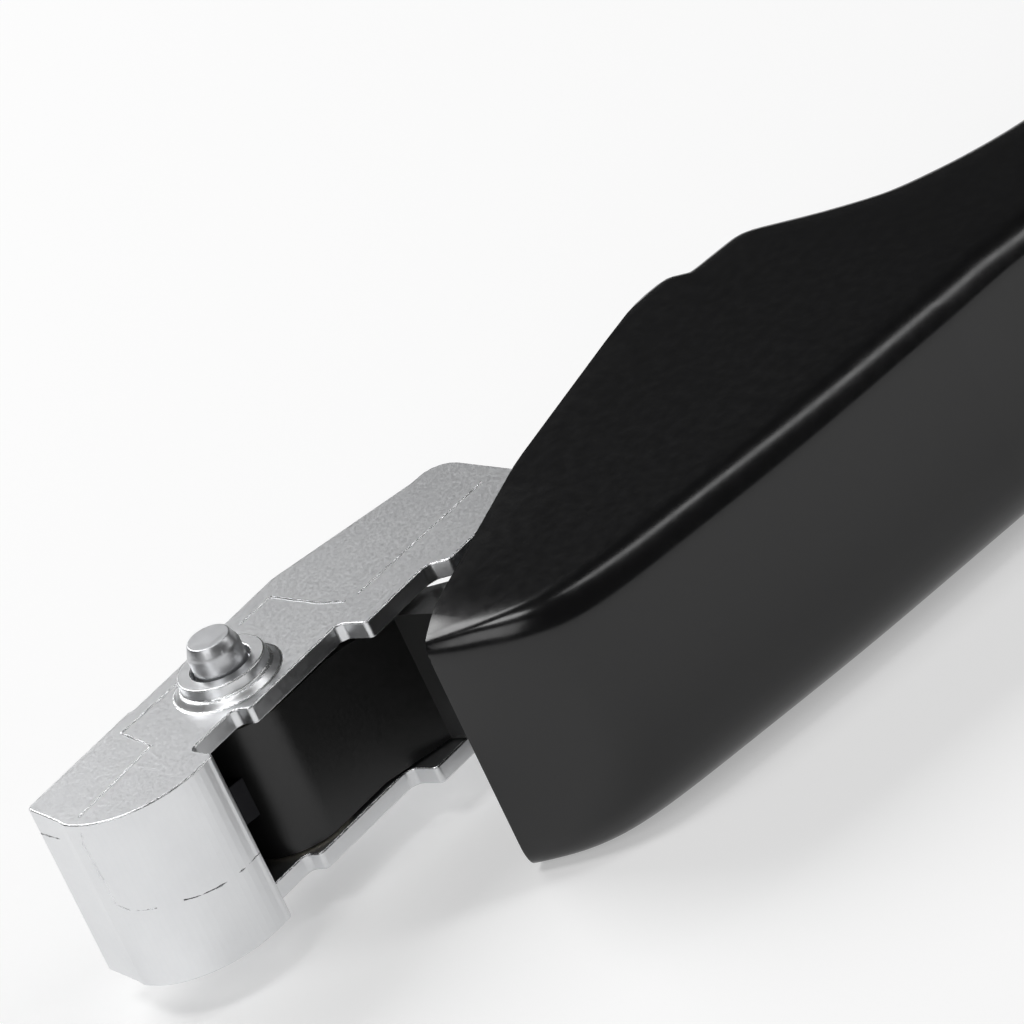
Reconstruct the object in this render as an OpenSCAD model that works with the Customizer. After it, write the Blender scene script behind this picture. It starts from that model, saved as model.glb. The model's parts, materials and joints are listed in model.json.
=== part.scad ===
// Hammer staple gun with a rocking die-cast head.
// Every piece is drawn in side view, around the pivot pin: X runs towards the butt of the handle,
// Y rises towards the back of the handle, and Z is the width, zero on the middle plane.
// place() then lays the tool on its side, so that its width stands along +Z of the finished part.

/* [Overall] */
// Pivot pin to the front of the nose
nose_reach = 26.4; // [26.4:0.1:26.6]
// Pivot pin to the end of the butt cap
butt_reach = 268; // [266:1:272]
// Half the width of the handle where it is widest
half_w = 16; // [15.8:0.1:16.4]

/* [Head casting] */
// Width of the casting over its two cheeks
head_w = 22; // [21.6:0.1:22.4]
// Thickness of a cheek
cheek = 2.2; // [1.8:0.1:2.4]
// Thickness of the wall round the nose
nose_wall = 2.2; // [1.8:0.1:2.6]
// Lower edge of the casting below the pin
foot_y = 9.1; // [9:0.1:9.3]
// Radius of the boss round the pin
boss_r = 5.2; // [4.8:0.1:5.6]
// Height of the boss above the cheek
boss_h = 2.2; // [1.6:0.1:2.4]

/* [Pivot] */
// Radius of the pivot pin
pin_r = 3.1; // [2.8:0.05:3.3]
// Running clearance round the pin
run_gap = 0.06; // [0.03:0.01:0.09]
// How far the pin stands above the upper boss
pin_proud = 3.4; // [2.8:0.1:3.6]
// Radius of the barrel that turns between the cheeks
barrel_r = 6.9; // [6.6:0.1:7.0]
// Half the length of the barrel
barrel_h = 8.4; // [8.2:0.05:8.45]

/* [Handle] */
// Thickness of the handle shell
shell_wall = 1.9; // [1.6:0.1:2.2]
// Thickness of the cover that closes the underside of the grip
cover_t = 3; // [2.6:0.1:3.4]

/* [Spine] */
// Height of the lower face of the spine bar above the pin
bar_y = 41.3; // [41.2:0.1:41.6]
// Thickness of the spine bar
bar_t = 4.5; // [4:0.1:4.6]
// Half the width of the spine bar
bar_w = 7.5; // [7:0.1:8]

/* [Magazine] */
// Half the outer width of the magazine channel
mag_w = 6.4; // [6.3:0.05:6.45]
// Sheet thickness of the magazine channel
mag_t = 0.85; // [0.7:0.05:0.9]
// Lower face of the magazine below the pin
mag_y = 14.8; // [14.6:0.1:15]
// Number of staples left on the strip
staple_n = 16; // [6:1:16]

/* [Hidden] */

$fn = 48;
back_y = 61.6;                         // highest point of the handle's back above the pin
pin_x = (nose_reach - butt_reach) / 2; // the part's origin is under the middle of its box
pin_y = (back_y - mag_y) / 2;
head_h = head_w / 2;
cavity_h = head_h - cheek;             // half the space between the cheeks
boss_z = head_h + boss_h;
blade_x = -19.2;                       // middle of the driver blade
blade_t = 0.9;
slot_h = mag_w + 0.05;                 // half the width of the slot for the magazine
roof_y = 7.3;                          // top of the magazine below the pin
mag_x0 = -19.8;                        // front end of the magazine channel
plate_t = 0.8;
washer_t = 0.25;
wire = 0.55;                           // staple wire
crown_h = 5.3;                         // half the width of a staple
pitch = 1.27;                          // one staple in the strip
rail_x0 = -18.6;
rail_x1 = 24;
strip_x0 = rail_x0 + 0.1;
strip_x1 = strip_x0 + staple_n * pitch;
pusher_l = 6;
rod_y = -11;                           // axis of the guide rod
tail_x = 34.5;                         // spring anchors, one above the other
tail_y = 3.5;
anchor_y = 36;
rim = [[10.1, 26.1], [35.2, 16.5], [69.6, 8.2]]; // lower edge of the hood
cap_x = 250;                           // where the butt cap starts
bar_x0 = 41;                           // where the spine bar starts
bar_mid = bar_y + bar_t / 2;
corner = 6.2;                          // corner radius of the grip
screw_sink = 3.4;                      // depth of a shell screw's seat below the flat side
ramp = [8, 10];                        // outline rows between which the underside rises in straight runs

// Handle outline: [x, height of the back, height of the underside, half width,
// then the radius of its upper back corner, lower back corner and both underside corners]
outline = [
    [2.6, 24.0, 19.0, 14.6, 2.0, 2.0, 2.0], [4.2, 28.0, 20.0, 15.0, 2.6, 3.4, 2.4],
    [6.4, 32.8, 18.0, 15.4, 3.4, 5.0, 3.2], [9.4, 37.6, 16.0, 15.8, 4.0, 6.6, 4.0],
    [13.2, 41.3, 13.0, half_w, 4.4, 8.0, 4.5], [19.0, 43.7, 12.0, half_w, 4.6, 8.6, 4.5],
    [30.0, 46.0, 9.0, half_w, 4.6, 8.8, 4.5], [48.0, 49.1, 7.0, half_w, 4.5, 8.8, 4.5],
    [69.0, 51.6, 7.0, half_w, 4.3, 8.6, 4.5], [70.6, 51.8, 9.9, half_w, 4.3, 8.6, 4.5],
    [78.4, 52.5, 10.2, half_w, 4.2, 8.4, 5.6], [83.3, 53.0, 17.5, half_w - 0.2, 4.1, 8.2, corner],
    [89.5, 53.5, 25.0, half_w - 0.4, 4.0, 8.0, corner],
    [103.0, 54.6, 32.2, half_w - 0.7, 4.0, 7.4, corner],
    [122.0, 56.4, 36.0, half_w - 1.0, 4.6, 6.6, corner],
    [160.0, 59.6, 37.2, half_w - 1.0, corner, corner, corner],
    [205.0, 61.4, 36.0, half_w - 1.0, corner, corner, corner],
    [236.0, back_y, 33.6, half_w - 0.8, corner, corner, corner],
    [cap_x, 61.4, 31.6, half_w - 0.2, corner, corner, corner],
    [259.0, 60.6, 30.6, half_w, corner, corner, corner],
    [265.0, 57.6, 32.4, half_w, corner, corner, corner],
    [butt_reach, 51.5, 38.0, half_w - 1.6, corner, corner, corner]];

module place() {
    translate([pin_x, pin_y, half_w]) rotate([180, 0, 0]) children();
}

// Extrusion of a side view, centred on the middle plane
module slab(h) {
    linear_extrude(h, center = true) children();
}

// Copies on both sides of the middle plane
module both_sides() {
    for (s = [0, 180]) mirror([0, 0, s / 180]) children();
}

// Shaft along Z at a point of the side view
module shaft(x, y, r, h) {
    translate([x, y, 0]) cylinder(r = r, h = h, center = true);
}

// Shaft that rises along Y from a point
module rise(x, y, z, r, h, r2 = -1) {
    translate([x, y, z]) rotate([-90, 0, 0]) cylinder(r1 = r, r2 = r2 < 0 ? r : r2, h = h);
}

// Slope of column k at row i
function grade(i, k) = let (
        n = len(outline) - 1,
        a = outline[max(min(i, n) - 1, 0)],
        b = outline[min(i + 1, n)])
    (b[k] - a[k]) / (b[0] - a[0]);

// Smooth curve from a to b over a length w, with slopes p and q at its ends
function curve(a, b, p, q, w, t) =
    a + t * (p * w + t * (3 * (b - a) - (2 * p + q) * w + t * (2 * (a - b) + (p + q) * w)));

// Outline row at a fraction t of the way from row i to row i + 1
function row(i, t) = let (a = outline[i], b = outline[min(i + 1, len(outline) - 1)])
    [for (k = [0:6]) k == 0 || (i >= ramp[0] && i <= ramp[1] && k == 2)
        ? a[k] * (1 - t) + b[k] * t
        : curve(a[k], b[k], grade(i, k), grade(i + 1, k), b[0] - a[0], t)];

// Outline row with its width kept within the flat sides
function flat_row(i, t) = let (p = row(i, t)) [for (k = [0:6]) k == 3 ? min(p[3], half_w) : p[k]];

// Rounded rectangle of a handle section: c is its four corner radii, m the corner steps
function section(top, low, h, c, m = 5) =
    [for (q = [0:3], k = [0:m]) let (a = 90 * (q + k / m), r = c[q])
        [(q == 0 || q == 3 ? top - r : low + r) + r * cos(a),
         (q < 2 ? h - r : r - h) + r * sin(a)]];

// Ring of points of the handle at row p, moved inwards by w
function ring(p, slope, w) = let (a = atan(slope), shift = w * sin(a), drop = w * cos(a))
    [for (q = section(p[1] - drop, p[2] + w, p[3] - w, [for (k = [5, 6, 6, 4]) max(p[k] - w, 0.3)]))
        [p[0] + shift, q[0], q[1]]];

// Slope of the back at row i
function slope(i, t) = (row(i, min(t + 0.05, 1))[1] - row(i, max(t - 0.05, 0))[1])
    / (row(i, min(t + 0.05, 1))[0] - row(i, max(t - 0.05, 0))[0]);

// Solid through a list of rings
module loft(rings) {
    n = len(rings);
    m = len(rings[0]);
    polyhedron(
        points = [for (r = rings, p = r) p],
        faces = concat(
            [[for (k = [0:m - 1]) k]],
            [for (i = [0:n - 2], k = [0:m - 1])
                [i * m + (k + 1) % m, i * m + k, (i + 1) * m + k, (i + 1) * m + (k + 1) % m]],
            [[for (k = [m - 1:-1:0]) (n - 1) * m + k]]),
        convexity = 6);
}

// Handle body from row i0 to row i1, moved inwards by w
module handle_body(i0, i1, w = 0) {
    loft(concat(
        [for (i = [i0:i1 - 1], t = [0, 0.5]) ring(flat_row(i, t), w > 0 ? slope(i, t) : 0, w)],
        [ring(flat_row(i1, 0), 0, w)]));
}

// Everything below the curved lower edge of the shell's hood
module below_rim() {
    slab(80) polygon([[-20, rim[0][1] + 16], rim[0], rim[1], rim[2], [rim[2][0], -40], [-20, -40]]);
}

// Side view of the strip that the grip cover takes from the underside
module cover_view(grow = 0) {
    low = [for (i = [12:18]) [outline[i][0], outline[i][2]]];
    polygon(concat(
        [[85 - grow, 17]], [[85 - grow, 19.6 + cover_t + grow]],
        [for (p = low) [p[0], p[1] + cover_t + grow]],
        [for (i = [len(low) - 1:-1:0]) [low[i][0], low[i][1] - 6]]));
}

shell_posts = [76, 128, 232];
cover_posts = [108, 172, 224];

module handle_shell() {
    color([0.05, 0.05, 0.055]) place() difference() {
        union() {
            difference() {
                handle_body(0, 18);
                handle_body(1, 19, shell_wall);
            }
            for (x = shell_posts)
                translate([x, bar_mid, bar_w]) cylinder(r = 4.8, h = half_w - bar_w - 1.6);
        }
        below_rim();
        slab(80) cover_view(0.15);
        for (x = shell_posts) translate([x, bar_mid, 0]) {
            cylinder(r = 1.8, h = 30);
            translate([0, 0, half_w - screw_sink]) cylinder(r = 3.5, h = 6);
        }
    }
}

module grip_cover() {
    color([0.06, 0.06, 0.065]) place() difference() {
        union() {
            intersection() {
                difference() {
                    handle_body(10, 18);
                    handle_body(9, 19, shell_wall);
                }
                slab(80) cover_view();
            }
            for (x = cover_posts) rise(x, lookup(x, under) + 1, 0, 3.4, bar_y - lookup(x, under) - 1);
        }
        for (x = cover_posts) {
            rise(x, lookup(x, under) - 4, 0, 3.1, 6.2);
            rise(x, lookup(x, under) - 4, 0, 1.5, 30);
        }
    }
}

// Height of the underside along the handle
under = [for (i = [11:20]) [outline[i][0], outline[i][2]]];

module butt_cap() {
    color([0.07, 0.07, 0.075]) place() difference() {
        handle_body(18, len(outline) - 1);
        shaft(259.5, 38.5, 3.8, 60);
        translate([butt_reach - 6, bar_mid, 0]) rotate([0, 90, 0]) cylinder(r = 3.6, h = 20);
        translate([cap_x - 1, bar_mid, 0]) rotate([0, 90, 0]) cylinder(r = 2, h = 30);
    }
}

module spine_bar() {
    color([0.45, 0.46, 0.48]) place() difference() {
        translate([bar_x0, bar_y, -bar_w]) cube([cap_x - bar_x0, bar_t, 2 * bar_w]);
        for (x = tongue_screw_x) {
            rise(x, bar_y - 1, 0, 2.05, 4);
            rise(x, bar_y + bar_t - 2.05, 0, 2.05, 2.1, 4.1);
        }
        for (x = shell_posts) translate([x, bar_mid, 1]) cylinder(r = 1.7, h = 20);
        for (x = cover_posts) rise(x, bar_y - 1, 0, 1.5, 4.5);
        translate([cap_x - 12, bar_mid, 0]) rotate([0, 90, 0]) cylinder(r = 1.6, h = 20);
    }
}

tongue_screw_x = [45, 52.5];
tongue_screw_l = [2.9, 2.7];

// Side view of the arm that works the driver
module arm_view() {
    polygon([[-20.5, -0.7], [-20.5, 0.7], [-19.9, 1.2], [-16, 1.2], [-10.5, 2.2], [-5.6, 3.2],
        [-4.2, 3.2], [-4.2, -3.2], [-5.6, -3.2], [-10.5, -2.2], [-16, -1.2], [-19.9, -1.2]]);
}

module tongue() {
    color([0.08, 0.08, 0.08]) place() difference() {
        union() {
            cylinder(r = barrel_r, h = 2 * barrel_h, center = true);
            slab(2 * barrel_h) polygon([[0, barrel_r], [8, barrel_r], [16.4, 9.6], [18.6, 20],
                [20, 33], [25, 38.5], [32, bar_y], [64, bar_y], [63, 38.3], [41, 38], [37, 34],
                [29.5, 31], [24.6, 15], [17, 3], [6, -4], [0, 0]]);
        }
        shaft(0, 0, pin_r, 60);
        slab(5.2) arm_view();
        slab(6.6) translate([31.2, 26]) square([12, 13]);
        shaft(tail_x, anchor_y, 1.2, 2 * barrel_h + 2);
        for (i = [0, 1]) rise(tongue_screw_x[i], bar_y - tongue_screw_l[i], 0, 2, 12);
    }
}

module driver_arm() {
    color([0.16, 0.16, 0.17]) place() slab(5.2) arm_view();
}

module pivot_pin() {
    tip = boss_z + pin_proud;
    clip_z = head_h + 0.12;
    color([0.72, 0.72, 0.74]) place() rotate_extrude() polygon([[0, -tip], [2.5, -tip],
        [pin_r, -tip + 1.5], [pin_r, clip_z], [2.5, clip_z], [2.5, clip_z + 0.74],
        [pin_r, clip_z + 0.74], [pin_r, clip_z + 1.4], [pin_r - 0.5, clip_z + 1.9], [0, clip_z + 1.9]]);
}

module pin_clip() {
    color([0.35, 0.35, 0.36]) place() translate([0, 0, head_h + 0.14]) linear_extrude(0.7) difference() {
        circle(r = 5);
        circle(r = 2.52);
        translate([0, -1.6]) square([8, 3.2]);
    }
}

module thrust_washers() {
    color([0.8, 0.78, 0.7]) place() both_sides() translate([0, 0, barrel_h])
        linear_extrude(washer_t) difference() {
            circle(r = 6.4);
            circle(r = pin_r + 0.1);
        }
}

module tongue_screws() {
    color([0.5, 0.5, 0.52]) place() for (i = [0, 1]) {
        x = tongue_screw_x[i];
        rise(x, bar_y - tongue_screw_l[i], 0, 2, tongue_screw_l[i] + bar_t - 2);
        difference() {
            rise(x, bar_y + bar_t - 2, 0, 2, 2, 3.9);
            rise(x, bar_y + bar_t - 1.4, 0, 1.3, 3);
        }
    }
}

module shell_screws() {
    color([0.3, 0.3, 0.31]) place() for (x = shell_posts) translate([x, bar_mid, 0]) {
        translate([0, 0, 1]) cylinder(r = 1.7, h = half_w - screw_sink - 1);
        difference() {
            translate([0, 0, half_w - screw_sink]) cylinder(r = 3.3, h = 1.9);
            translate([0, 0, half_w - screw_sink + 0.9]) cylinder(r = 1.5, h = 3, $fn = 6);
        }
    }
}

module cover_screws() {
    color([0.3, 0.3, 0.31]) place() for (x = cover_posts) difference() {
        union() {
            rise(x, lookup(x, under) + 0.4, 0, 2.9, 1.8);
            rise(x, lookup(x, under) + 1, 0, 1.45, bar_y + 2 - lookup(x, under));
        }
        rise(x, lookup(x, under), 0, 1.2, 1.4);
    }
}

module cap_screw() {
    color([0.3, 0.3, 0.31]) place() translate([0, bar_mid, 0]) difference() {
        union() {
            translate([cap_x - 12, 0, 0]) rotate([0, 90, 0]) cylinder(r = 1.6, h = 26);
            translate([butt_reach - 6, 0, 0]) rotate([0, 90, 0]) cylinder(r = 3.4, h = 2.4);
        }
        translate([butt_reach - 4.8, 0, 0]) rotate([0, 90, 0]) cylinder(r = 1.5, h = 4, $fn = 6);
    }
}

module spring_anchor() {
    color([0.6, 0.6, 0.62]) place() shaft(tail_x, anchor_y, 1.2, 2 * barrel_h);
}

// Wire of radius w along a path of [point, side vector], where the side vector is never along the wire
module wire(path, w, sides = 6) {
    n = len(path) - 1;
    loft([for (i = [0:n]) let (
            p = path[i][0],
            along = path[min(i + 1, n)][0] - path[max(i - 1, 0)][0],
            t = along / norm(along),
            side = path[i][1] - (path[i][1] * t) * t,
            u = side / norm(side),
            v = cross(t, u))
        [for (k = [0:sides - 1]) p + w * (cos(360 * k / sides) * u + sin(360 * k / sides) * v)]]);
}

// Path of a coil along Y from the origin: mean radius r, length h, n turns, starting at +Z
function coil_path(r, h, n, steps = 12) = [for (i = [0:n * steps]) let (a = 360 * i / steps)
    [[-r * sin(a), h * i / (n * steps), r * cos(a)], [-sin(a), 0, cos(a)]]];

module return_spring() {
    turns = 9;
    coil_r = 2.2;
    eye_r = 1.9;
    lead = 2.1;                        // from the top of an eye to the start of the coil
    coil_h = anchor_y - tail_y - 2 * (eye_r + lead);
    z = [0, 0, 1];
    lower = concat(
        [for (a = [390:-30:90]) [[eye_r * cos(a), eye_r * sin(a), 0], z]],
        [[[1.5, eye_r + 0.3, 0.4], z], [[2.1, eye_r + 1.0, 1.1], z], [[1.5, eye_r + 1.8, 1.8], z]]);
    upper = [for (i = [len(lower) - 1:-1:0])
        [[-lower[i][0][0], anchor_y - tail_y - lower[i][0][1], lower[i][0][2]], z]];
    coil = [for (q = coil_path(coil_r, coil_h, turns)) [q[0] + [0, eye_r + lead, 0], q[1]]];
    color([0.62, 0.63, 0.65]) place() translate([tail_x, tail_y, 0]) wire(concat(lower, coil, upper), 0.4);
}

outer_soft = 0.7;                      // radius of the casting's outer corners in side view
inner_soft = 0.8;                      // radius of its inner corners

// Side view of the casting with its solid nose
module casting_view() {
    offset(r = outer_soft, $fn = 24) offset(delta = -outer_soft)
    offset(r = -inner_soft, $fn = 24) offset(delta = inner_soft) polygon(concat(
        [[-7.5, -foot_y], [-24.8, -foot_y], [-26.0, -3]],
        [for (a = [180:-4:84]) [-14.4 + 12 * cos(a), -1.6 + 10.6 * sin(a)]],
        [[-12, 9], [-12, 5.4], [-11.7, 5.2], [-5.2, 5.2], [-4.6, 5.6], [-4.2, 7.3], [10.4, 7.3],
         [11.2, 7.9], [11.8, 11.1], [21.6, 11.1], [22.6, 11.6], [23.8, 13.5], [38.4, 13.5],
         [39.8, 12.4], [39.8, 3.7]],
        [for (a = [0:-18:-72]) [36.2 + 3.6 * cos(a), 0.4 + 3.6 * sin(a)]],
        [[35.3, -3.2], [16.9, -8.7], [-7.5, -8.7]]));
}

// Side view of the space inside the nose wall
module nose_space() {
    polygon(concat(
        [[-10, -roof_y], [-23.6, -roof_y], [-23.8, -3]],
        [for (a = [180:-12:84]) [-14.4 + (12 - nose_wall) * cos(a), -1.6 + (10.6 - nose_wall) * sin(a)]],
        [[-10, 6.8]]));
}

module head_casting() {
    color([0.83, 0.84, 0.85]) place() difference() {
        union() {
            slab(head_w) casting_view();
            mirror([0, 0, 1]) translate([0, 0, head_h - 0.1]) {
                cylinder(r1 = boss_r + 1.2, r2 = boss_r + 0.3, h = 0.9);
                cylinder(r = boss_r, h = boss_h + 0.1);
            }
        }
        slab(2 * cavity_h) {
            nose_space();
            translate([-10.1, -roof_y]) square([80, 60]);
            translate([17.2, -20]) square([60, 60]);
        }
        translate([mag_x0 - plate_t, -30, -slot_h]) cube([90, 30, 2 * slot_h]);
        cylinder(r = pin_r + run_gap, h = 60, center = true);
        mirror([0, 0, 1]) translate([0, 0, boss_z - 1.3]) cylinder(r = pin_r + 0.35, h = 3);
        shaft(tail_x, tail_y, 1.2, 2 * cavity_h + 2.8);
        for (x = mag_screw_x) both_sides() rise(x, -foot_y - 1, mag_screw_z, 1, 2.9);
    }
}

mag_screw_x = [-14, 11];
mag_screw_z = 8;

module nose_plate() {
    color([0.6, 0.61, 0.63]) place() translate([mag_x0 - plate_t, -mag_y, -mag_w])
        cube([plate_t, mag_y - roof_y, 2 * mag_w]);
}

module magazine_channel() {
    color([0.66, 0.67, 0.69]) place() difference() {
        union() {
            difference() {
                translate([mag_x0, -mag_y, -mag_w])
                    cube([rail_x1 - 0.1 - mag_x0, mag_y - roof_y, 2 * mag_w]);
                translate([-30, -mag_y - 1, -mag_w + mag_t])
                    cube([80, mag_y - roof_y - mag_t + 1.05, 2 * (mag_w - mag_t)]);
                translate([-30, -roof_y - 2, -mag_w + mag_t]) cube([17, 4, 2 * (mag_w - mag_t)]);
            }
            for (x = mag_screw_x) both_sides()
                translate([x - 2.6, -foot_y - 0.8, mag_w - 0.2]) cube([5.2, 0.8, 3.2]);
        }
        for (x = mag_screw_x) both_sides() rise(x, -foot_y - 2, mag_screw_z, 1, 4);
    }
}

module magazine_screws() {
    color([0.4, 0.4, 0.42]) place() for (x = mag_screw_x) both_sides() difference() {
        union() {
            rise(x, -foot_y - 1.7, mag_screw_z, 1.5, 0.9);
            rise(x, -foot_y - 1, mag_screw_z, 1, 2.8);
        }
        translate([x - 2, -foot_y - 1.8, mag_screw_z - 0.25]) cube([4, 0.5, 0.5]);
    }
}

module tail_pin() {
    color([0.6, 0.6, 0.62]) place() shaft(tail_x, tail_y, 1.2, 2 * cavity_h + 2.8);
}

module driver_blade() {
    color([0.58, 0.59, 0.61]) place() difference() {
        translate([blade_x - blade_t / 2, -7.9, -5.2]) cube([blade_t, 11.9, 10.4]);
        translate([blade_x - 2, -1.75, -3]) cube([4, 3.5, 6]);
    }
}

module staple_rail() {
    rail_w = 4.6;
    rail_t = 0.7;
    rail_foot = 5.45;
    color([0.66, 0.67, 0.69]) place() difference() {
        union() {
            translate([rail_x0, -mag_y, -rail_w]) cube([rail_x1 - rail_x0, mag_y - 9, 2 * rail_w]);
            translate([rail_x0, -mag_y, -rail_foot]) cube([rail_x1 - rail_x0, 0.5, 2 * rail_foot]);
        }
        translate([rail_x0 + 1, -mag_y + 0.8, -rail_w + rail_t])
            cube([80, 20, 2 * (rail_w - rail_t)]);
        translate([rail_x0 - 1, rod_y, 0]) rotate([0, 90, 0]) cylinder(r = 0.8, h = 4);
    }
}

module rail_end() {
    color([0.5, 0.5, 0.52]) place() difference() {
        union() {
            translate([rail_x1, -mag_y + 0.6, -5.8]) cube([4, mag_y - 8, 11.6]);
            both_sides() translate([rail_x1 + 0.8, -7.5, 3.9]) cube([3.2, 3.6, 1.5]);
        }
        translate([rail_x1 - 1, rod_y, 0]) rotate([0, 90, 0]) cylinder(r = 0.8, h = 4);
        shaft(latch_x, latch_y, 0.9, 20);
    }
}

latch_x = 26.4;
latch_y = -5.4;

module guide_rod() {
    color([0.7, 0.7, 0.72]) place() translate([rail_x0, rod_y, 0]) rotate([0, 90, 0])
        cylinder(r = 0.8, h = rail_x1 - rail_x0 + 3);
}

module staple_strip() {
    color([0.75, 0.75, 0.77]) place() for (i = [0:staple_n - 1])
        translate([strip_x0 + i * pitch, 0, 0]) difference() {
            translate([0, -14.2, -crown_h]) cube([i < staple_n - 1 ? pitch : pitch - 0.2, 6, 2 * crown_h]);
            translate([-1, -14.2 - wire, -crown_h + wire]) cube([4, 6, 2 * (crown_h - wire)]);
        }
}

module pusher() {
    x0 = strip_x1 + 0.1;
    color([0.55, 0.56, 0.58]) place() difference() {
        translate([x0, -14.1, -5.25]) cube([pusher_l, 5.85, 10.5]);
        difference() {
            translate([x0 - 1, -15, -4.7]) cube([pusher_l + 2, 6.1, 9.4]);
            translate([x0, -12.7, -1.9]) cube([pusher_l, 6, 3.8]);
        }
        translate([x0 - 1, rod_y, 0]) rotate([0, 90, 0]) cylinder(r = 0.8 + run_gap, h = 20);
    }
}

module pusher_spring() {
    x0 = strip_x1 + 0.1 + pusher_l + 0.3;
    color([0.62, 0.63, 0.65]) place() translate([x0, rod_y, 0]) rotate([0, 0, -90])
        wire(coil_path(1.45, rail_x1 - x0 - 0.3, 9, 10), 0.28);
}

module latch_lever() {
    color([0.5, 0.5, 0.52]) place() difference() {
        slab(7.4) union() {
            translate([latch_x, latch_y]) circle(r = 1.7);
            polygon([[20.4, -7.22], [22.2, -7.22], [23.2, -6.4], [26, -7.0], [27.4, -6.6], [33.6, -8.4],
                [34.2, -7.4], [28, -4.6], [26, -3.8], [22.6, -5.0], [20.4, -6.0]]);
        }
        shaft(latch_x, latch_y, 0.9 + run_gap, 20);
    }
}

module latch_pin() {
    color([0.7, 0.7, 0.72]) place() shaft(latch_x, latch_y, 0.9, 10.8);
}

handle_shell();
grip_cover();
butt_cap();
spine_bar();
tongue();
driver_arm();
pivot_pin();
pin_clip();
thrust_washers();
tongue_screws();
shell_screws();
cover_screws();
cap_screw();
spring_anchor();
return_spring();
head_casting();
nose_plate();
magazine_channel();
magazine_screws();
tail_pin();
driver_blade();
staple_rail();
rail_end();
guide_rod();
staple_strip();
pusher();
pusher_spring();
latch_lever();
latch_pin();
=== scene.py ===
import bpy
import bmesh
import json
import math
import random
from mathutils import Matrix, Vector

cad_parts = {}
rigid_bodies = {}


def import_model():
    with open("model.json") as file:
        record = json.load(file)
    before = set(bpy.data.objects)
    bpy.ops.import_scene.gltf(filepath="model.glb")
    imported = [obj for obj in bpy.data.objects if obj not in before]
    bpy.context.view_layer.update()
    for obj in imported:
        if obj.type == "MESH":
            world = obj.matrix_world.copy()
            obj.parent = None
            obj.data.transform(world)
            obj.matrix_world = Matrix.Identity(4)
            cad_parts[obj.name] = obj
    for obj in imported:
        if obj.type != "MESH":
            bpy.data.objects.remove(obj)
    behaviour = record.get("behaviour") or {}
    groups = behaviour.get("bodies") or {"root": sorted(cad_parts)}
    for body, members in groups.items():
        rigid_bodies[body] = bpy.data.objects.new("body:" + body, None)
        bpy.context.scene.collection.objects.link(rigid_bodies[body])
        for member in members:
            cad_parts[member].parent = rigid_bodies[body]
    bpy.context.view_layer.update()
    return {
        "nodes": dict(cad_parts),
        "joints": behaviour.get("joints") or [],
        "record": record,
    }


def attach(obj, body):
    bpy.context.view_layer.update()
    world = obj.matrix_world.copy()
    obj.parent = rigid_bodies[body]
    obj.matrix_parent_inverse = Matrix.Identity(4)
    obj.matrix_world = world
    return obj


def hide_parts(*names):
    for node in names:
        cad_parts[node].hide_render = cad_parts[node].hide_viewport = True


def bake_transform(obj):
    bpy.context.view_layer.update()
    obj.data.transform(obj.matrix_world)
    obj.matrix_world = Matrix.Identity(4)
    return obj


bpy.ops.object.select_all(action="SELECT")
bpy.ops.object.delete()
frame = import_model()
record = frame["record"]
nodes = frame["nodes"]
mm = 0.001
pivot = Vector(next(j["pos_m"] for j in frame["joints"] if j["name"] == "head_pivot"))
bodyOf = {node: body for body, members in record["behaviour"]["bodies"].items() for node in members}
slotOf = {part["node"]: part["material_slot"] for part in record["subparts"]}


def toolPoint(along, up, across):
    # side view of the tool: along from the pin to the butt, up to the back, across the width
    return pivot + Vector((along, -up, across)) * mm


# ---- camera ----

view = {
    "right": Vector((0.6152, -0.6898, -0.3823)),
    "up": Vector((0.5920, 0.0835, 0.8015)),
    "aim": (30.7, 18.0),   # from the pin's boss to the middle of the frame, mm along right and up
    "frameWidth": 110.7,   # mm
    "lens": 420,
    "sensor": 36,          # mm
}


def placeCamera():
    right = view["right"].normalized()
    up = (view["up"] - view["up"].dot(right) * right).normalized()
    back = right.cross(up)
    aim = toolPoint(0, 0, 11) + (right * view["aim"][0] + up * view["aim"][1]) * mm
    distance = view["frameWidth"] * mm * view["lens"] / view["sensor"]
    bpy.ops.object.camera_add()
    camera = bpy.context.object
    camera.data.lens = view["lens"]
    camera.data.sensor_width = view["sensor"]
    camera.data.clip_start = 0.01
    camera.matrix_world = Matrix.Translation(aim + back * distance) @ Matrix(
        (right, up, back)).transposed().to_4x4()
    bpy.context.scene.camera = camera


placeCamera()
print("camera placed")


# ---- small helpers ----

def makeActive(obj):
    if bpy.context.object and bpy.context.object.mode != "OBJECT":
        bpy.ops.object.mode_set(mode="OBJECT")
    bpy.ops.object.select_all(action="DESELECT")
    obj.select_set(True)
    bpy.context.view_layer.objects.active = obj


def startEdit(obj):
    makeActive(obj)
    bpy.ops.object.mode_set(mode="EDIT")
    bpy.ops.mesh.select_mode(type="VERT")


def endEdit():
    bpy.ops.object.mode_set(mode="OBJECT")


def pickVerts(obj, test):
    bpy.ops.mesh.select_all(action="DESELECT")
    cage = bmesh.from_edit_mesh(obj.data)
    for vert in cage.verts:
        if test(vert):
            vert.select = True
    cage.select_flush(True)
    bmesh.update_edit_mesh(obj.data)


def modify(obj, kind, **settings):
    makeActive(obj)
    modifier = obj.modifiers.new(kind.title(), kind)
    for key, value in settings.items():
        setattr(modifier, key, value)
    bpy.ops.object.modifier_apply(modifier=modifier.name)


def bakePlace(obj):
    makeActive(obj)
    bpy.ops.object.transform_apply(location=True, rotation=True, scale=True)


def smooth(obj, angle=35):
    makeActive(obj)
    bpy.ops.object.shade_smooth_by_angle(angle=math.radians(angle))


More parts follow.
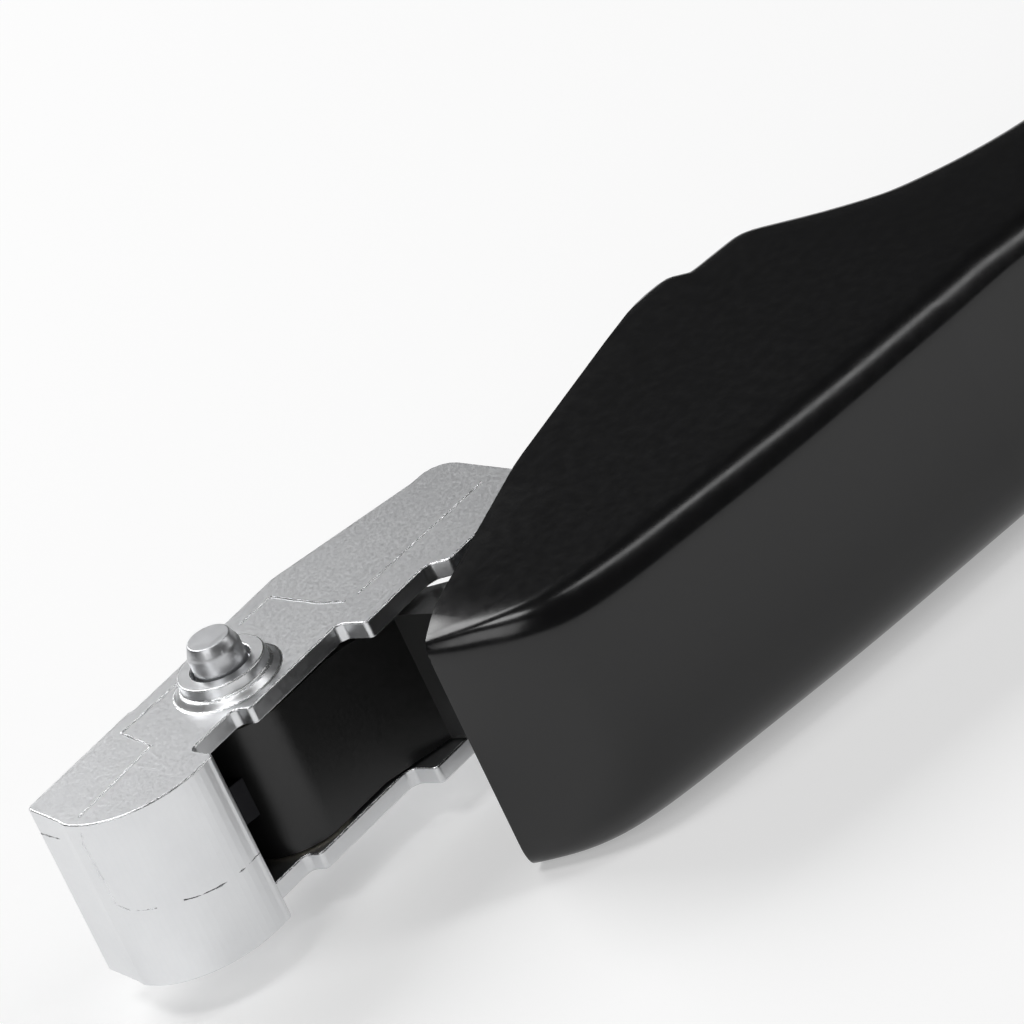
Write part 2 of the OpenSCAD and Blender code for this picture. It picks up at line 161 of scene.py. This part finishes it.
def faceOutward(obj):
    startEdit(obj)
    bpy.ops.mesh.select_all(action="SELECT")
    bpy.ops.mesh.remove_doubles(threshold=1e-6)
    bpy.ops.mesh.normals_make_consistent(inside=False)
    endEdit()


def joined(pieces):
    makeActive(pieces[0])
    for piece in pieces:
        piece.select_set(True)
    bpy.ops.object.join()
    return pieces[0]


# ---- materials ----

def linear(hexColour):
    out = []
    for i in (1, 3, 5):
        c = int(hexColour[i:i + 2], 16) / 255
        out.append(c / 12.92 if c <= 0.04045 else ((c + 0.055) / 1.055) ** 2.4)
    return (*out, 1)


def addNode(tree, kind, settings={}, links={}):
    node = tree.nodes.new(kind)
    for key, value in settings.items():
        if key in node.inputs:
            node.inputs[key].default_value = value
        else:
            setattr(node, key, value)
    for socket, (source, output) in links.items():
        tree.links.new(source.outputs[output], node.inputs[socket])
    return node


def surface(name, look):
    # look: two colours in soft patches, a roughness range, and a grain with its real size and height
    material = bpy.data.materials.new(name)
    material.use_nodes = True
    tree = material.node_tree
    shader = tree.nodes["Principled BSDF"]
    shader.inputs["Metallic"].default_value = look["metallic"]
    if not look["metallic"]:
        shader.inputs["IOR"].default_value = look["ior"]
    coords = addNode(tree, "ShaderNodeTexCoord")
    mapping = addNode(tree, "ShaderNodeMapping", {"Scale": look.get("stretch", (1, 1, 1))},
                      {"Vector": (coords, "Object")})
    patches = addNode(tree, "ShaderNodeTexNoise", {"Scale": 1000 / look["patch"], "Detail": 4},
                      {"Vector": (coords, "Object")})
    colour = addNode(tree, "ShaderNodeMix", {"data_type": "RGBA"})
    colour.inputs[6].default_value = linear(look["base"])
    colour.inputs[7].default_value = linear(look["tint"])
    tree.links.new(patches.outputs["Fac"], colour.inputs[0])
    tree.links.new(colour.outputs[2], shader.inputs["Base Color"])
    grain = addNode(tree, "ShaderNodeTexNoise",
                    {"Scale": 1000 / look["grain"], "Detail": 5, "Roughness": 0.6},
                    {"Vector": (mapping, "Vector")})
    rough = addNode(tree, "ShaderNodeMapRange", {"From Min": 0.3, "From Max": 0.7,
                    "To Min": look["rough"][0], "To Max": look["rough"][1]}, {"Value": (grain, "Fac")})
    tree.links.new(rough.outputs["Result"], shader.inputs["Roughness"])
    bump = addNode(tree, "ShaderNodeBump", {"Distance": look["height"] * mm, "Strength": 1.0},
                   {"Height": (grain, "Fac")})
    tree.links.new(bump.outputs["Normal"], shader.inputs["Normal"])
    return material


def addPits(material, size, height, share):
    # shallow pits of a die-cast skin, laid over the grain
    tree = material.node_tree
    bump = next(n for n in tree.nodes if n.bl_idname == "ShaderNodeBump")
    coords = next(n for n in tree.nodes if n.bl_idname == "ShaderNodeTexCoord")
    cells = addNode(tree, "ShaderNodeTexVoronoi", {"Scale": 1000 / size, "feature": "SMOOTH_F1"},
                    {"Vector": (coords, "Object")})
    pits = addNode(tree, "ShaderNodeMapRange", {"From Min": 0.0, "From Max": share},
                   {"Value": (cells, "Distance")})
    second = addNode(tree, "ShaderNodeBump", {"Distance": height * mm, "Strength": 1.0},
                     {"Height": (pits, "Result"), "Normal": (bump, "Normal")})
    tree.links.new(second.outputs["Normal"], tree.nodes["Principled BSDF"].inputs["Normal"])


# ABS moulded in a polished tool: deep black, mirror-like, with the faint orange peel of its skin
shellAbs = surface("moulded black ABS", {"base": "#0b0b0c", "tint": "#0f0f10", "metallic": 0, "ior": 1.5,
                   "rough": (0.17, 0.24), "patch": 30, "grain": 1.6, "height": 0.0035})
# the same ABS from another tool, a little duller
coverAbs = surface("moulded black ABS cover", {"base": "#0e0e0f", "tint": "#131314", "metallic": 0,
                   "ior": 1.5, "rough": (0.24, 0.32), "patch": 24, "grain": 1.2, "height": 0.004})
# spark-eroded tool texture on the cap gives it a fine matt grain
capAbs = surface("textured black ABS cap", {"base": "#101011", "tint": "#151516", "metallic": 0, "ior": 1.5,
                 "rough": (0.42, 0.55), "patch": 18, "grain": 0.35, "height": 0.012})
# glass-filled nylon: black with a soft sheen and a slightly mottled skin
tongueNylon = surface("glass-filled black nylon", {"base": "#121212", "tint": "#191919", "metallic": 0,
                      "ior": 1.53, "rough": (0.3, 0.42), "patch": 6, "grain": 0.5, "height": 0.006})
# unfilled nylon, cloudy cream
washerNylon = surface("natural nylon", {"base": "#e6e0cf", "tint": "#d8d0ba", "metallic": 0, "ior": 1.53,
                      "rough": (0.4, 0.5), "patch": 4, "grain": 0.4, "height": 0.004})
# nickel plate over a tumbled zinc die casting: bright and pale, softened by the skin of the casting
zincPlate = surface("nickel-plated zinc die casting", {"base": "#e9eaeb", "tint": "#dcdddf", "metallic": 1,
                    "rough": (0.3, 0.4), "patch": 7, "grain": 0.45, "height": 0.005})
addPits(zincPlate, 1.6, 0.004, 0.5)
# the same plate where the edges were broken by hand: small facets that glitter
zincEdge = surface("nickel-plated zinc, broken edge", {"base": "#f0f1f2", "tint": "#d2d3d5", "metallic": 1,
                   "rough": (0.12, 0.3), "patch": 2, "grain": 0.38, "height": 0.09})
# zinc-plated sheet, with the long fine lines of rolling
sheetSteel = surface("zinc-plated sheet steel", {"base": "#b9bbbd", "tint": "#a5a8ab", "metallic": 1,
                     "rough": (0.26, 0.42), "patch": 8, "grain": 0.3, "height": 0.004,
                     "stretch": (0.05, 1, 1)})
# ground and hardened: crosswise grinding lines
bladeSteel = surface("ground spring steel", {"base": "#a6a7a9", "tint": "#8f9093", "metallic": 1,
                     "rough": (0.2, 0.38), "patch": 5, "grain": 0.25, "height": 0.005,
                     "stretch": (1, 1, 0.06)})
# turned on a lathe: rings round the axis show as bands along it
pinSteel = surface("turned steel pin", {"base": "#d6d7d8", "tint": "#c4c5c8", "metallic": 1,
                   "rough": (0.34, 0.44), "patch": 3, "grain": 0.4, "height": 0.003,
                   "stretch": (0.3, 0.3, 1)})
# cold drawn wire, smooth and grey
springSteel = surface("drawn spring wire", {"base": "#9a9da1", "tint": "#83868b", "metallic": 1,
                      "rough": (0.24, 0.34), "patch": 3, "grain": 0.3, "height": 0.003})
# zinc on the screws, a little yellow
screwSteel = surface("zinc-plated screw steel", {"base": "#b4b3ad", "tint": "#9b9a94", "metallic": 1,
                     "rough": (0.3, 0.42), "patch": 3, "grain": 0.3, "height": 0.005})
# galvanised staple wire, brighter than the rail
stapleWire = surface("galvanised staple wire", {"base": "#cdd0d3", "tint": "#b7babd", "metallic": 1,
                     "rough": (0.25, 0.36), "patch": 2, "grain": 0.25, "height": 0.003})
# black oxide over machined steel: dark, dry, with lighter rubbed patches
darkSteel = surface("black-oxide steel", {"base": "#1d1d1f", "tint": "#2b2b2d", "metallic": 1,
                    "rough": (0.35, 0.55), "patch": 3, "grain": 0.3, "height": 0.005})
# hot-rolled bar with its blue-grey mill scale
barSteel = surface("hot-rolled steel bar", {"base": "#5c6066", "tint": "#45484d", "metallic": 1,
                   "rough": (0.4, 0.62), "patch": 10, "grain": 0.8, "height": 0.015})

finishOf = {
    "shell": shellAbs, "cover": coverAbs, "cap": capAbs, "tongue": tongueNylon, "washer": washerNylon,
    "plated_zinc": zincPlate, "bar_steel": barSteel, "sheet_steel": sheetSteel, "blade_steel": bladeSteel,
    "pin_steel": pinSteel, "screw_steel": screwSteel, "spring_steel": springSteel, "staple_wire": stapleWire,
    "dark_steel": darkSteel,
}
print("materials made")


def settle(piece, name, node, material=None):
    # names a finished piece, gives it its finish and lets it ride in place of its CAD node
    piece.name = name
    piece.data.name = name
    if material or not piece.data.materials:
        piece.data.materials.clear()
        piece.data.materials.append(material or finishOf[slotOf[node]])
    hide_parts(node)
    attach(piece, bodyOf[node])


# ---- handle: shell, grip cover and butt cap, drawn as one form ----

handle = {
    # along, back, underside, half width, then the radius of the upper back corner, the lower back
    # corner and both underside corners, all in mm
    "outline": [
        (2.6, 24.0, 19.0, 14.6, 2.0, 2.0, 2.0), (4.2, 28.0, 20.0, 15.0, 2.6, 3.4, 2.4),
        (6.4, 32.8, 18.0, 15.4, 3.4, 5.0, 3.2), (9.4, 37.6, 16.0, 15.8, 4.0, 6.6, 4.0),
        (13.2, 41.3, 13.0, 16, 4.4, 8.0, 4.5), (19.0, 43.7, 12.0, 16, 4.6, 8.6, 4.5),
        (30.0, 46.0, 9.0, 16, 4.6, 8.8, 4.5), (48.0, 49.1, 7.0, 16, 4.5, 8.8, 4.5),
        (69.0, 51.6, 7.0, 16, 4.3, 8.6, 4.5), (70.6, 51.8, 9.9, 16, 4.3, 8.6, 4.5),
        (78.4, 52.5, 10.2, 16, 4.2, 8.4, 5.6), (83.3, 53.0, 17.5, 15.8, 4.1, 8.2, 6.2),
        (89.5, 53.5, 25.0, 15.6, 4.0, 8.0, 6.2), (103.0, 54.6, 32.2, 15.3, 4.0, 7.4, 6.2),
        (122.0, 56.4, 36.0, 15, 4.6, 6.6, 6.2), (160.0, 59.6, 37.2, 15, 6.2, 6.2, 6.2),
        (205.0, 61.4, 36.0, 15, 6.2, 6.2, 6.2), (236.0, 61.6, 33.6, 15.2, 6.2, 6.2, 6.2),
        (250.0, 61.4, 31.6, 15.8, 6.2, 6.2, 6.2), (259.0, 60.6, 30.6, 16, 6.2, 6.2, 6.2),
        (265.0, 57.6, 32.4, 16, 6.2, 6.2, 6.2), (268.0, 51.5, 38.0, 14.4, 6.2, 6.2, 6.2)],
    "cornerSteps": 6,
    "wall": 1.9,
    "rim": [(-20, 42.1), (10.1, 26.1), (35.2, 16.5), (69.6, 8.2)],   # lower edge of the hood
    "coverFrom": 84.8,
    "capFrom": 250,
    "seam": 3.11,          # height of the cover's strip above the underside
    "rampRows": (8, 10),   # rows between which the underside rises in straight runs
    "screws": [76, 128, 232],
    "screwHeight": 43.55,
    "seat": {"across": -15.4, "radius": 3.5, "length": 5.6},
    "post": {"across": -10.95, "radius": 4.8, "length": 6.9, "bore": 1.85},
    "hangHole": {"along": 259.5, "up": 38.5, "radius": 3.8},
    "capScrew": {"along": 267, "radius": 3.6, "length": 10},
}


def between(rows, i, t):
    # a smooth curve through the rows, as a spline through the given stations
    before, a, b, after = (rows[min(max(k, 0), len(rows) - 1)] for k in (i - 1, i, i + 1, i + 2))
    span = b[0] - a[0]
    out = [a[0] + span * t]
    for k in range(1, 7):
        p = (b[k] - before[k]) / (b[0] - before[0]) * span
        q = (after[k] - a[k]) / (after[0] - a[0]) * span
        rise = b[k] - a[k]
        out.append(a[k] + t * (p + t * (3 * rise - 2 * p - q + t * (p + q - 2 * rise))))
    if handle["rampRows"][0] <= i <= handle["rampRows"][1]:
        out[2] = a[2] * (1 - t) + b[2] * t
    out[3] = min(out[3], 16)
    return out


def cornersOf(station):
    # (up, across) of the four square corners of a section and the radius that rounds each
    back, low, half, upper, lower, under = station[1:]
    return [(back, half, upper), (back, -half, lower), (low, half, under), (low, -half, under)]


def loftHandle():
    rows = handle["outline"]
    stations = [between(rows, i, t) for i in range(len(rows) - 1) for t in (0, 0.25, 0.5, 0.75)] + [rows[-1]]
    along, back, low, half = stations[0][:4]
    bpy.ops.mesh.primitive_plane_add(size=1, location=toolPoint(along, (back + low) / 2, 0),
                                     rotation=(0, math.pi / 2, 0))
    form = bpy.context.object
    form.scale = (2 * half * mm, (back - low) * mm, 1)
    bakePlace(form)
    startEdit(form)
    bpy.ops.mesh.select_all(action="SELECT")
    bpy.ops.mesh.bevel(offset=stations[0][4] * mm, segments=handle["cornerSteps"], affect="VERTICES")
    for last, now in zip(stations, stations[1:]):
        bpy.ops.mesh.extrude_region_move(TRANSFORM_OT_translate={"value": ((now[0] - last[0]) * mm, 0, 0)})
        here = toolPoint(now[0], 0, 0).x
        middle = toolPoint(0, (last[1] + last[2]) / 2, 0)
        ring = [v for v in bmesh.from_edit_mesh(form.data).verts if abs(v.co.x - here) < 1e-6]
        groups = [{v.index for v in ring if (v.co.y < middle.y) == isBack and (v.co.z > middle.z) == isUpper}
                  for isBack, isUpper in ((True, True), (True, False), (False, True), (False, False))]
        for group, old, new in zip(groups, cornersOf(last), cornersOf(now)):
            pickVerts(form, lambda v: v.index in group)
            swell = new[2] / old[2]
            oldPlace = toolPoint(now[0], old[0], old[1])
            bpy.ops.transform.resize(value=(1, swell, swell), center_override=oldPlace)
            bpy.ops.transform.translate(value=toolPoint(now[0], new[0], new[1]) - oldPlace)
        pickVerts(form, lambda v: abs(v.co.x - here) < 1e-6)
    endEdit()
    return form, stations


def splitHandle(form, stations):
    # slot 0 shell, 1 cover, 2 cap; the slots are kept when the form is subdivided, then they part it
    lowAt = {round(s[0], 3): s[2] for s in stations}
    for material in (shellAbs, coverAbs, capAbs):
        form.data.materials.append(material)
    for face in form.data.polygons:
        corners = [(form.data.vertices[i].co - pivot) / mm for i in face.vertices]
        if min(c.x for c in corners) > handle["capFrom"] - 0.01:
            face.material_index = 2
        elif min(c.x for c in corners) > handle["coverFrom"] - 0.01 and all(
                -c.y - lowAt[round(c.x, 3)] < handle["seam"] for c in corners):
            face.material_index = 1
    faceOutward(form)
    modify(form, "SUBSURF", levels=1, render_levels=1)
    makeActive(form)
    bpy.ops.object.mode_set(mode="EDIT")
    bpy.ops.mesh.separate(type="MATERIAL")
    endEdit()
    parts = {p.data.materials[p.data.polygons[0].material_index]: p for p in bpy.context.selected_objects}
    for material, part in parts.items():
        part.data.materials.clear()
        part.data.materials.append(material)
        for face in part.data.polygons:
            face.material_index = 0
    return parts[shellAbs], parts[coverAbs], parts[capAbs]


def carve(obj, cutters):
    # takes the cutters out of obj and clears them away
    for cutter in cutters:
        modify(obj, "BOOLEAN", object=cutter, operation="DIFFERENCE", solver="EXACT")
        bpy.data.objects.remove(cutter)


def rod(along, up, across, radius, length, direction, sides=48):
    # a plain rod used for cutting holes and for posts
    turn = {"across": (0, 0, 0), "up": (math.pi / 2, 0, 0), "along": (0, math.pi / 2, 0)}[direction]
    bpy.ops.mesh.primitive_cylinder_add(vertices=sides, radius=radius * mm, depth=length * mm,
                                        location=toolPoint(along, up, across), rotation=turn)
    obj = bpy.context.object
    bakePlace(obj)
    return obj


def screwSeat(along):
    seat = handle["seat"]
    return rod(along, handle["screwHeight"], seat["across"], seat["radius"], seat["length"], "across")


def screwPost(along):
    # a moulded post between the spine bar and the flat side, with the seat of its screw
    size = handle["post"]
    up = handle["screwHeight"]
    post = rod(along, up, size["across"], size["radius"], size["length"], "across")
    carve(post, [screwSeat(along), rod(along, up, -10, size["bore"], 12, "across")])
    modify(post, "BEVEL", width=0.25 * mm, segments=2, limit_method="ANGLE", angle_limit=math.radians(50))
    return post


def buildHandle():
    form, stations = loftHandle()
    shell, cover, cap = splitHandle(form, stations)
    startEdit(shell)
    for start, end in zip(handle["rim"], handle["rim"][1:]):
        fall = (start[1] - end[1]) / (end[0] - start[0])
        bpy.ops.mesh.select_all(action="SELECT")
        bpy.ops.mesh.bisect(plane_co=toolPoint(*end, 0), plane_no=(-fall, 1, 0), clear_outer=True)
    endEdit()
    modify(shell, "SOLIDIFY", thickness=handle["wall"] * mm, offset=-1, use_even_offset=True)
    modify(cover, "SOLIDIFY", thickness=handle["wall"] * mm, offset=-1, use_even_offset=True)
    for part in (shell, cover):
        modify(part, "BEVEL", width=0.3 * mm, segments=3, limit_method="ANGLE", angle_limit=math.radians(50))
    carve(shell, [screwSeat(x) for x in handle["screws"]])
    posts = [screwPost(x) for x in handle["screws"]]
    startEdit(cap)
    bpy.ops.mesh.select_all(action="DESELECT")
    bpy.ops.mesh.select_non_manifold()
    bpy.ops.mesh.edge_face_add()
    endEdit()
    hang = handle["hangHole"]
    well = handle["capScrew"]
    carve(cap, [rod(hang["along"], hang["up"], 0, hang["radius"], 60, "across"),
                rod(well["along"], handle["screwHeight"], 0, well["radius"], well["length"], "along")])
    modify(cap, "BEVEL", width=0.4 * mm, segments=3, limit_method="ANGLE", angle_limit=math.radians(50))
    joined([shell] + posts)
    for part, name, node in ((shell, "handleShell", "handle_shell"), (cover, "gripCover", "grip_cover"),
                             (cap, "buttCap", "butt_cap")):
        smooth(part)
        settle(part, name, node)


buildHandle()
print("handle shell, cover and cap made")


# ---- hard parts: the CAD's own shape with its edges broken ----

def roundedCopy(node, name, width, segments=2, angle=30, edgeMaterial=None, clamp=True):
    copy = bpy.data.objects.new(name, nodes[node].data.copy())
    bpy.context.scene.collection.objects.link(copy)
    makeActive(copy)
    bpy.ops.mesh.customdata_custom_splitnormals_clear()
    startEdit(copy)
    bpy.ops.mesh.select_all(action="SELECT")
    bpy.ops.mesh.remove_doubles(threshold=2e-6)
    bpy.ops.mesh.dissolve_limited(angle_limit=math.radians(0.5))
    endEdit()
    copy.data.materials.clear()
    copy.data.materials.append(finishOf[slotOf[node]])
    if edgeMaterial:
        copy.data.materials.append(edgeMaterial)
    modify(copy, "BEVEL", width=width * mm, segments=segments, limit_method="ANGLE",
           angle_limit=math.radians(angle), use_clamp_overlap=clamp, loop_slide=False,
           material=1 if edgeMaterial else -1)
    smooth(copy, angle)
    modify(copy, "WEIGHTED_NORMAL", keep_sharp=True)
    return copy


# node: piece name and the width of its broken edges in mm
brokenEdges = {
    "spine_bar": ("spineBar", 0.5), "tongue": ("tongueBarrel", 0.35), "driver_arm": ("driverArm", 0.25),
    "pivot_pin": ("pivotPin", 0.18), "pin_clip": ("pinClip", 0.1),
    "thrust_washers": ("thrustWashers", 0.05), "tongue_screws": ("tongueScrews", 0.15),
    "shell_screws": ("shellScrews", 0.2), "cover_screws": ("coverScrews", 0.2),
    "cap_screw": ("capScrew", 0.2), "spring_anchor": ("springAnchor", 0.12),
    "nose_plate": ("nosePlate", 0.12), "magazine_channel": ("magazineChannel", 0.2),
    "magazine_screws": ("magazineScrews", 0.1), "tail_pin": ("tailPin", 0.12),
    "driver_blade": ("driverBlade", 0.1), "staple_rail": ("stapleRail", 0.12),
    "rail_end": ("railEnd", 0.3), "guide_rod": ("guideRod", 0.1), "pusher": ("stapleFollower", 0.15),
    "latch_lever": ("latchLever", 0.25), "latch_pin": ("latchPin", 0.12),
}
for node, (pieceName, width) in brokenEdges.items():
    settle(roundedCopy(node, pieceName, width), pieceName, node)
# a wider edge folds over the casting's smallest corners
casting = roundedCopy("head_casting", "headCasting", 0.2, segments=3, edgeMaterial=zincEdge, clamp=False)
settle(casting, "headCasting", "head_casting")
print("hard parts made")


# ---- wires: springs, staples and the parting lines of the casting ----

def wirePiece(points, radius, sides=2, kind="NURBS"):
    bpy.ops.curve.primitive_nurbs_path_add(location=(0, 0, 0))
    obj = bpy.context.object
    obj.data.splines.clear()
    spline = obj.data.splines.new(kind)
    spline.points.add(len(points) - 1)
    for place, point in zip(spline.points, points):
        place.co = (*point, 1)
    if kind == "NURBS":
        spline.order_u = 3
        spline.use_endpoint_u = True
        spline.resolution_u = 3
    obj.data.bevel_depth = radius * mm
    obj.data.bevel_resolution = sides
    obj.data.use_fill_caps = True
    makeActive(obj)
    bpy.ops.object.convert(target="MESH")
    obj = bpy.context.object
    bakePlace(obj)
    faceOutward(obj)
    smooth(obj, 50)
    return obj


returnSpring = {"along": 34.5, "from": 3.5, "to": 36, "coil": 2.2, "eye": 1.9, "lead": 2.1, "turns": 9,
                "wire": 0.4}
pusherSpring = {"from": 8.22, "to": 23.7, "up": -11, "coil": 1.45, "turns": 9, "wire": 0.28}


def coilTurns(radius, length, turns, steps=16):
    # (sideways, forwards, across) of a coil that starts at +across
    out = []
    for i in range(turns * steps + 1):
        a = 2 * math.pi * i / steps
        out.append((-radius * math.sin(a), length * i / (turns * steps), radius * math.cos(a)))
    return out


def stretchBetween(piece, name, node):
    # a spring joins two bodies; here it is named, given the spring wire and set in place of its CAD node,
    # baked where it lies and carried by neither body, so it does not stretch
    piece.name = name
    piece.data.name = name
    piece.data.materials.clear()
    piece.data.materials.append(springSteel)
    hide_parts(node)
    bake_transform(piece)


def makeReturnSpring():
    s = returnSpring
    reach = s["to"] - s["from"]
    lower = [(s["eye"] * math.cos(math.radians(a)), s["eye"] * math.sin(math.radians(a)), 0)
             for a in range(390, 89, -20)]
    lower += [(1.5, s["eye"] + 0.3, 0.4), (2.1, s["eye"] + 1.0, 1.1), (1.5, s["eye"] + 1.8, 1.8)]
    upper = [(-x, reach - y, z) for x, y, z in reversed(lower)]
    start = s["eye"] + s["lead"]
    coil = [(x, y + start, z) for x, y, z in coilTurns(s["coil"], reach - 2 * start, s["turns"])]
    points = [toolPoint(s["along"] + x, s["from"] + y, -z) for x, y, z in lower + coil + upper]
    stretchBetween(wirePiece(points, s["wire"], 3), "returnSpring", "return_spring")


def makePusherSpring():
    s = pusherSpring
    points = [toolPoint(s["from"] + y, s["up"] + x, z)
              for x, y, z in coilTurns(s["coil"], s["to"] - s["from"], s["turns"])]
    stretchBetween(wirePiece(points, s["wire"], 3), "pusherSpring", "pusher_spring")


makeReturnSpring()
makePusherSpring()
print("springs made")

strip = {"first": -18.5, "count": 16, "pitch": 1.27, "wide": 10.6, "leg": 6, "wire": 0.55, "crown": -8.2}


def stapleBlock(along, up, wide, leg, thick):
    bpy.ops.mesh.primitive_cube_add(size=1, location=toolPoint(along, up, 0))
    obj = bpy.context.object
    obj.scale = (thick * mm, leg * mm, wide * mm)
    bakePlace(obj)
    return obj


def makeStapleStrip():
    s = strip
    one = stapleBlock(s["first"] + s["pitch"] / 2, s["crown"] - s["leg"] / 2, s["wide"], s["leg"],
                      s["pitch"] - 0.1)
    inner = stapleBlock(s["first"] + s["pitch"] / 2, s["crown"] - s["leg"] / 2 - s["wire"],
                        s["wide"] - 2 * s["wire"], s["leg"], 4)
    carve(one, [inner])
    modify(one, "BEVEL", width=0.16 * mm, segments=2, limit_method="ANGLE", angle_limit=math.radians(40))
    smooth(one, 40)
    staples = [one]
    for i in range(1, s["count"]):
        makeActive(one)
        bpy.ops.object.duplicate(linked=False)
        bpy.ops.transform.translate(value=(i * s["pitch"] * mm, 0, 0))
        staples.append(bpy.context.object)
    for staple in staples:
        bakePlace(staple)
    settle(joined(staples), "stapleStrip", "staple_strip")


makeStapleStrip()
print("staples made")

# ---- raised lines where the halves of the die met ----

partingLines = {
    "radius": 0.17,        # mm, as all that follows
    "step": 0.6,
    "wobble": 0.05,
    "dip": 0.06,
    "face": 11,            # height of the upper cheek above the middle plane
    "noseCentre": (-14.4, -1.6),
    "noseSink": 0.991,     # share of the way out from the centre, so that a line stands half proud
    # along and up, on the upper cheek
    "cheek": [[(8.8, -6.3), (13.9, -6.1), (14.0, 2.0), (14.8, 5.1)], [(16.2, 5.8), (26.5, 6.3), (36.8, 6.8)],
              [(-1.8, -6.4), (-11.0, -6.9), (-12.2, -0.9), (-18.3, -0.7), (-24.9, -0.5)]],
    # along, up, and depth below the upper face, on the nose wall
    "nose": [[(-26.1, 0.6, 0.3), (-26.27, 0.0, 2.6), (-26.2, 0.35, 10.7), (-25.9, 1.4, 11.5),
              (-25.2, 3.0, 11.9), (-24.35, 4.3, 12.1)],
             [(-22.3, 6.4, 12.4), (-20.5, 7.5, 12.8), (-18.35, 8.4, 13.1), (-15.4, 8.95, 13.2),
              (-12.4, 8.9, 13.2)],
             [(-24.95, -8.5, 3.2), (-25.6, -5.0, 2.9), (-26.27, 0.0, 2.6)]],
}


def makePartingLines():
    wobble = random.Random(4)
    cx, cy = partingLines["noseCentre"]
    sink = partingLines["noseSink"]
    face = partingLines["face"]
    uneven = partingLines["wobble"]
    paths = [[(x, y, 0.05) for x, y in line] for line in partingLines["cheek"]]
    paths += [[(cx + (x - cx) * sink, cy + (y - cy) * sink, z) for x, y, z in line]
              for line in partingLines["nose"]]
    wires = []
    for path in paths:
        points = []
        for (x0, y0, z0), (x1, y1, z1) in zip(path, path[1:]):
            steps = max(2, round(math.dist((x0, y0, z0), (x1, y1, z1)) / partingLines["step"]))
            for k in range(steps):   # a slightly uneven line, as a worn die leaves it
                t = k / steps
                points.append(toolPoint(x0 + (x1 - x0) * t + wobble.uniform(-uneven, uneven),
                                        y0 + (y1 - y0) * t + wobble.uniform(-uneven, uneven),
                                        face - z0 - (z1 - z0) * t - wobble.uniform(0, partingLines["dip"])))
        points.append(toolPoint(path[-1][0], path[-1][1], face - path[-1][2]))
        wires.append(wirePiece(points, partingLines["radius"], 1, "POLY"))
    lines = joined(wires)
    lines.name = "partingLines"
    lines.data.materials.clear()
    lines.data.materials.append(zincEdge)
    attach(lines, "head")


makePartingLines()
print("parting lines made")

# ---- floor and light ----

floorLook = {"base": "#dcdcdc", "tint": "#d6d6d6", "metallic": 0, "ior": 1.45, "rough": (0.75, 0.85),
             "patch": 400, "grain": 2.0, "height": 0.01}


def makeFloor():
    bpy.ops.mesh.primitive_plane_add(size=7, location=(0, 0, 0))
    floor = bpy.context.object
    floor.name = "floor"
    # opal acrylic, lit from below as a light table is, so that shadows stay faint
    opal = surface("satin opal acrylic", floorLook)
    shader = opal.node_tree.nodes["Principled BSDF"]
    shader.inputs["Emission Color"].default_value = linear("#ffffff")
    shader.inputs["Emission Strength"].default_value = 0.36
    floor.data.materials.append(opal)


def softbox(direction, distance, size, power):
    way = Vector(direction).normalized()
    bpy.ops.object.light_add(type="AREA", location=way * distance)
    light = bpy.context.object
    light.data.shape = "RECTANGLE"
    light.data.size = size[0]
    light.data.size_y = size[1]
    light.data.energy = power
    light.rotation_euler = way.to_track_quat("Z", "Y").to_euler()


makeFloor()
softbox((0.42, -0.50, 0.60), 1.6, (0.24, 2.2), 7)     # tall box on the near side
softbox((-0.35, 0.0, 0.93), 1.5, (0.5, 0.35), 4.5)    # small bright box over the nose
softbox((0.02, 0.72, 0.69), 1.6, (0.9, 0.9), 14)      # soft box behind
softbox((-0.85, -0.20, 0.50), 1.6, (0.8, 0.8), 5)     # fill from the left
world = bpy.data.worlds.new("studio")
bpy.context.scene.world = world
world.use_nodes = True
world.node_tree.nodes["Background"].inputs["Color"].default_value = linear("#ffffff")
world.node_tree.nodes["Background"].inputs["Strength"].default_value = 0.05
bpy.context.scene.view_settings.view_transform = "Standard"
print("stage lit")
